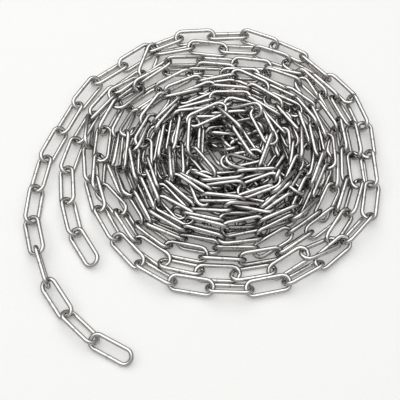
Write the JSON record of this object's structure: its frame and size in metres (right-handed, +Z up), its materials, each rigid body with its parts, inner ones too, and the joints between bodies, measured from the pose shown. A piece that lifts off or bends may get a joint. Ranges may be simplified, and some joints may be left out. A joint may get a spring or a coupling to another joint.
{
  "type": "heap of steel chain",
  "caption": "Loose coiled heap of long-link steel chain lying flat, piled in a low mound, with two loose ends trailing to one side.",
  "frame": {"origin": "centre of the footprint, on the floor that the heap lies on", "axes": "+Z up; +X to the right and +Y away from the viewer in the picture, with the loose ends at -X"},
  "size_m": [0.3032, 0.3344, 0.0345],
  "materials": {
    "chain_steel": "bright drawn stainless steel wire, lightly polished",
    "core_steel": "plain, hidden under the links"
  },
  "bodies": {
    "root": {"hidden_core": "core_steel", "outer_link_01": "chain_steel", "outer_link_02": "chain_steel", "outer_link_03": "chain_steel", "outer_link_04": "chain_steel", "outer_link_05": "chain_steel", "outer_link_06": "chain_steel", "outer_link_07": "chain_steel", "outer_link_08": "chain_steel", "outer_link_09": "chain_steel", "outer_link_10": "chain_steel", "outer_link_11": "chain_steel", "outer_link_12": "chain_steel", "outer_link_13": "chain_steel", "outer_link_14": "chain_steel", "outer_link_15": "chain_steel", "outer_link_16": "chain_steel", "outer_link_17": "chain_steel", "outer_link_18": "chain_steel", "outer_link_19": "chain_steel", "outer_link_20": "chain_steel", "outer_link_21": "chain_steel", "outer_link_22": "chain_steel", "outer_link_23": "chain_steel", "outer_link_24": "chain_steel", "outer_link_25": "chain_steel", "outer_link_26": "chain_steel", "outer_link_27": "chain_steel", "outer_link_28": "chain_steel", "outer_link_29": "chain_steel", "outer_link_30": "chain_steel", "outer_link_31": "chain_steel", "outer_link_32": "chain_steel", "outer_link_33": "chain_steel", "outer_link_34": "chain_steel", "tail_link_01": "chain_steel", "tail_link_02": "chain_steel", "tail_link_03": "chain_steel", "tail_link_04": "chain_steel", "tail_link_05": "chain_steel", "tail_link_06": "chain_steel", "tail_link_07": "chain_steel", "turn_02": "chain_steel", "turn_03": "chain_steel", "turn_04": "chain_steel", "turn_05": "chain_steel", "turn_06": "chain_steel", "turn_07": "chain_steel", "turn_08": "chain_steel", "turn_09": "chain_steel", "turn_10": "chain_steel"}
  },
  "joints": []
}
